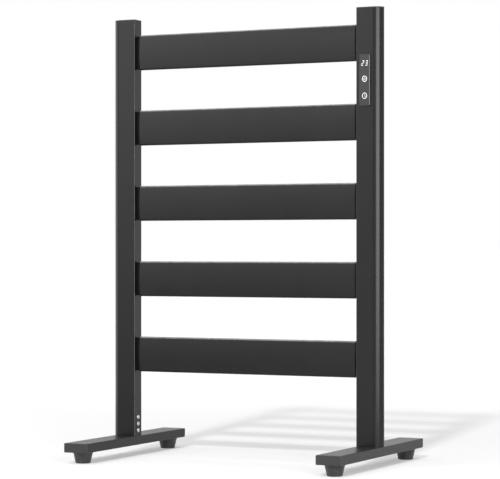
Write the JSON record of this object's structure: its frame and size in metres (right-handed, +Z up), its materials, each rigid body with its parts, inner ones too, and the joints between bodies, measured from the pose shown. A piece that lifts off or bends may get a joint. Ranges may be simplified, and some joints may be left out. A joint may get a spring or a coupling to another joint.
{
  "type": "towel warmer rack",
  "caption": "Free-standing electric towel warmer: flat convex heated bars between upright posts on foot bars, with levelling feet and a push-key panel in the right post.",
  "frame": {"origin": "on the floor, midway between the posts, under the middle of the bars", "axes": "+X along the bars towards the post with the control panel, +Y towards the back, +Z up"},
  "size_m": [0.6202, 0.427, 0.9273],
  "materials": {
    "black_coat": "satin powder coat",
    "cap_plastic": "satin moulded",
    "collar_plastic": "matt moulded",
    "heating_silicone": "smooth silicone",
    "cast_aluminium": "die-cast, raw",
    "zinc_steel": "zinc plated",
    "bright_steel": "bright nickel plated",
    "foot_rubber": "matt",
    "panel_plastic": "semi-gloss moulded",
    "panel_gloss": "high gloss",
    "key_gloss": "gloss with printed symbol",
    "digit_light": "lit segments",
    "grey_silicone": "matt silicone",
    "switch_plastic": "moulded",
    "circuit_board": "solder resist",
    "relay_plastic": "moulded",
    "terminal_plastic": "moulded",
    "live_wire": "cable sheath",
    "neutral_wire": "cable sheath",
    "earth_wire": "cable sheath",
    "block_plastic": "moulded",
    "brass_metal": "plain",
    "bare_aluminium": "pressed"
  },
  "bodies": {
    "rack": {"left_post": "black_coat", "right_post": "black_coat", "left_side_cover": "black_coat", "right_side_cover": "black_coat", "left_top_cap": "cap_plastic", "right_top_cap": "cap_plastic", "heated_bar_1": "black_coat", "heated_bar_2": "black_coat", "heated_bar_3": "black_coat", "heated_bar_4": "black_coat", "heated_bar_5": "black_coat", "heating_cable_1": "heating_silicone", "heating_cable_2": "heating_silicone", "heating_cable_3": "heating_silicone", "heating_cable_4": "heating_silicone", "heating_cable_5": "heating_silicone", "left_collars": "collar_plastic", "right_collars": "collar_plastic", "left_bar_plugs": "cast_aluminium", "right_bar_plugs": "cast_aluminium", "bar_screws": "zinc_steel", "left_foot_bar": "black_coat", "right_foot_bar": "black_coat", "left_foot_bar_caps": "cap_plastic", "right_foot_bar_caps": "cap_plastic", "left_base_block": "zinc_steel", "right_base_block": "zinc_steel", "base_screws": "bright_steel", "base_bolts": "zinc_steel", "stud_nuts": "zinc_steel", "panel_frame": "panel_plastic", "panel_lens": "panel_gloss", "display_module": "panel_gloss", "display_digits": "digit_light", "key_spring_pad": "grey_silicone", "tact_switches": "switch_plastic", "control_board": "circuit_board", "board_screws": "zinc_steel", "relay": "relay_plastic", "capacitor": "switch_plastic", "terminal_block": "terminal_plastic", "live_bus": "live_wire", "neutral_bus": "neutral_wire", "live_feed": "live_wire", "neutral_feed": "neutral_wire", "mains_block": "block_plastic", "earth_lead": "earth_wire", "earth_screw": "brass_metal", "thermal_cutout": "bare_aluminium", "cord_gland": "cap_plastic"},
    "power_key": {"power_key": "key_gloss"},
    "timer_key": {"timer_key": "key_gloss"},
    "left_front_foot": {"left_front_foot": "foot_rubber", "left_front_stud": "zinc_steel"},
    "left_rear_foot": {"left_rear_foot": "foot_rubber", "left_rear_stud": "zinc_steel"},
    "right_front_foot": {"right_front_foot": "foot_rubber", "right_front_stud": "zinc_steel"},
    "right_rear_foot": {"right_rear_foot": "foot_rubber", "right_rear_stud": "zinc_steel"}
  },
  "joints": [
    {"name": "power_key_press", "type": "slide", "parent": "rack", "child": "power_key", "axis": [0, 1, 0], "range_m": [0, 0.0005], "stiffness_N_per_m": 800, "springref_m": -0.0005},
    {"name": "timer_key_press", "type": "slide", "parent": "rack", "child": "timer_key", "axis": [0, 1, 0], "range_m": [0, 0.0005], "stiffness_N_per_m": 800, "springref_m": -0.0005},
    {"name": "left_front_foot_screw", "type": "slide", "parent": "rack", "child": "left_front_foot", "axis": [0, 0, -1], "range_m": [0, 0.008]},
    {"name": "left_rear_foot_screw", "type": "slide", "parent": "rack", "child": "left_rear_foot", "axis": [0, 0, -1], "range_m": [0, 0.008]},
    {"name": "right_front_foot_screw", "type": "slide", "parent": "rack", "child": "right_front_foot", "axis": [0, 0, -1], "range_m": [0, 0.008]},
    {"name": "right_rear_foot_screw", "type": "slide", "parent": "rack", "child": "right_rear_foot", "axis": [0, 0, -1], "range_m": [0, 0.008]}
  ]
}
